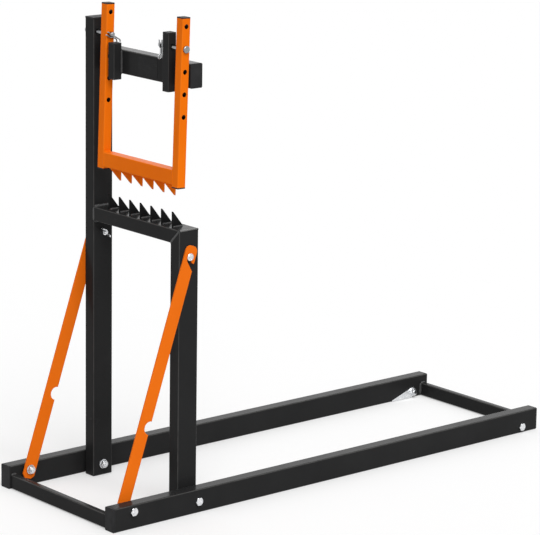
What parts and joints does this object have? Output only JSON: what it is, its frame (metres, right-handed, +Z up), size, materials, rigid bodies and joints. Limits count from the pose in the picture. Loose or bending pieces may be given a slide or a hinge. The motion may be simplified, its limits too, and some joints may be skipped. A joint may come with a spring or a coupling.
{
  "type": "log saw stand",
  "caption": "Folding tubular stand with a toothed rest and a pinned swinging toothed jaw that grips a log for sawing, held upright by hooked braces.",
  "frame": {"origin": "on the ground, midway along the rails and midway across the base", "axes": "+X along the rails from the brace end to the far end, +Y towards the tall upright, +Z up"},
  "size_m": [1.206, 0.406, 1.0243],
  "materials": {
    "black_coat": "satin powder coat",
    "orange_coat": "satin powder coat",
    "zinc": "bright zinc plate",
    "black_plastic": "moulded, matte",
    "label": "blank glossy label"
  },
  "bodies": {
    "base": {"rear_rail": "black_coat", "front_rail": "black_coat", "rail_caps": "black_plastic", "near_cross_tube": "black_coat", "far_cross_tube": "black_coat", "brace_bolts": "zinc", "brace_nuts": "zinc", "brace_spacers": "zinc", "pivot_bolts": "zinc", "pivot_nuts": "zinc", "pivot_sleeves": "zinc", "end_bolts": "zinc", "end_nuts": "zinc", "end_plates": "zinc"},
    "frame": {"tall_upright": "black_coat", "short_upright": "black_coat", "upright_caps": "black_plastic", "crossbar": "black_coat", "rest_tooth_row": "black_coat", "beam": "black_coat", "beam_cap": "black_plastic", "label_plate": "label", "left_stub": "black_coat", "right_stub": "black_coat", "stub_caps": "black_plastic", "left_pin": "zinc", "right_pin": "zinc", "hook_bolts": "zinc"},
    "jaw": {"jaw_left_arm": "orange_coat", "jaw_right_arm": "orange_coat", "jaw_bar": "orange_coat", "jaw_tooth_row": "orange_coat", "jaw_caps": "black_plastic"},
    "rear_brace": {"rear_brace": "orange_coat"},
    "front_brace": {"front_brace": "orange_coat"},
    "rear_wing_nut": {"rear_wing_nut": "zinc"},
    "front_wing_nut": {"front_wing_nut": "zinc"},
    "left_clip": {"left_clip": "zinc"},
    "right_clip": {"right_clip": "zinc"}
  },
  "joints": [
    {"name": "frame_fold", "type": "hinge", "parent": "base", "child": "frame", "pos_m": [-0.386, 0, 0.025], "axis": [0, 1, 0], "range_deg": [0, 88]},
    {"name": "rear_brace_fold", "type": "hinge", "parent": "base", "child": "rear_brace", "pos_m": [-0.5545, 0, 0.0368], "axis": [0, 1, 0], "range_deg": [0, 71.2]},
    {"name": "front_brace_fold", "type": "hinge", "parent": "base", "child": "front_brace", "pos_m": [-0.5545, 0, 0.0368], "axis": [0, 1, 0], "range_deg": [0, 71.2]},
    {"name": "jaw_swing", "type": "hinge", "parent": "frame", "child": "jaw", "pos_m": [-0.4015, 0, 0.96], "axis": [0, -1, 0], "range_deg": [-110, 1.7]},
    {"name": "rear_wing_turn", "type": "hinge", "parent": "frame", "child": "rear_wing_nut", "pos_m": [-0.386, 0.122, 0.5345], "axis": [0, 1, 0], "continuous": true},
    {"name": "front_wing_turn", "type": "hinge", "parent": "frame", "child": "front_wing_nut", "pos_m": [-0.386, -0.122, 0.5345], "axis": [0, 1, 0], "continuous": true},
    {"name": "left_clip_pull", "type": "slide", "parent": "frame", "child": "left_clip", "axis": [0.866, 0, -0.5], "range_m": [0, 0.0155]},
    {"name": "right_clip_pull", "type": "slide", "parent": "frame", "child": "right_clip", "axis": [0, 0, -1], "range_m": [0, 0.0155]}
  ]
}
